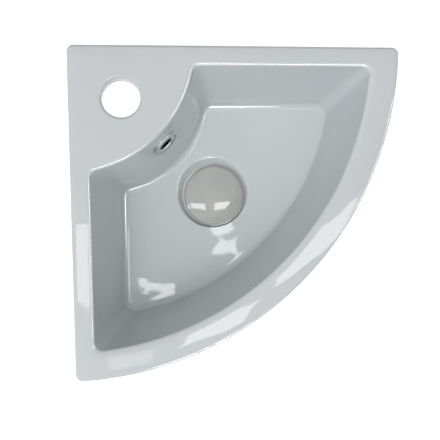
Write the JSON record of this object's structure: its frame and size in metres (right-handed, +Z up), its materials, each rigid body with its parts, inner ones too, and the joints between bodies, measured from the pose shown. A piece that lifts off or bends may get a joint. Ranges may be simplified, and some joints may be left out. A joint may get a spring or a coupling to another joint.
{
  "type": "corner basin",
  "caption": "Wall-hung quarter-round ceramic corner wash basin with a tap hole in its corner deck, a trimmed overflow and a press-to-open waste with a domed cap.",
  "frame": {"origin": "the upright corner where the two walls meet, on the level of the deck", "axes": "+X along the back wall, -Y along the left wall, +Z up out of the deck"},
  "size_m": [0.3031, 0.3031, 0.186],
  "materials": {
    "glaze": "gloss white glaze",
    "cap_glaze": "gloss warm white glaze",
    "chrome": "polished chrome plate",
    "brass": "turned",
    "spring_steel": "drawn wire",
    "steel": "zinc plated",
    "black_rubber": "matte",
    "pale_rubber": "matte",
    "black_plastic": "moulded",
    "white_plastic": "moulded"
  },
  "bodies": {
    "basin": {"basin_body": "glaze", "overflow_ring": "chrome", "overflow_sleeve": "black_plastic", "waste_body": "chrome", "flange_gasket": "pale_rubber", "taper_seal": "black_rubber", "slip_washer": "white_plastic", "back_nut": "brass", "latch_barrel": "brass", "barrel_cap": "brass", "latch_spring": "spring_steel"},
    "plug": {"plug_cap": "cap_glaze", "plug_carrier": "chrome", "plug_seal": "black_rubber", "push_stem": "brass", "stem_lock_nut": "steel"},
    "rotor": {"latch_rotor": "white_plastic"}
  },
  "joints": [
    {"name": "plug_lift", "type": "slide", "parent": "basin", "child": "plug", "axis": [0, 0, 1], "range_m": [0, 0.009], "deforming": ["latch_spring"]},
    {"name": "rotor_turn", "type": "hinge", "parent": "plug", "child": "rotor", "pos_m": [0.1385, -0.1385, -0.127], "axis": [0, 0, 1], "range_deg": [0, 45]}
  ],
  "couplings": [
    {"joint": "rotor_turn", "follows": "plug_lift", "rad_per_m": 87.2}
  ]
}
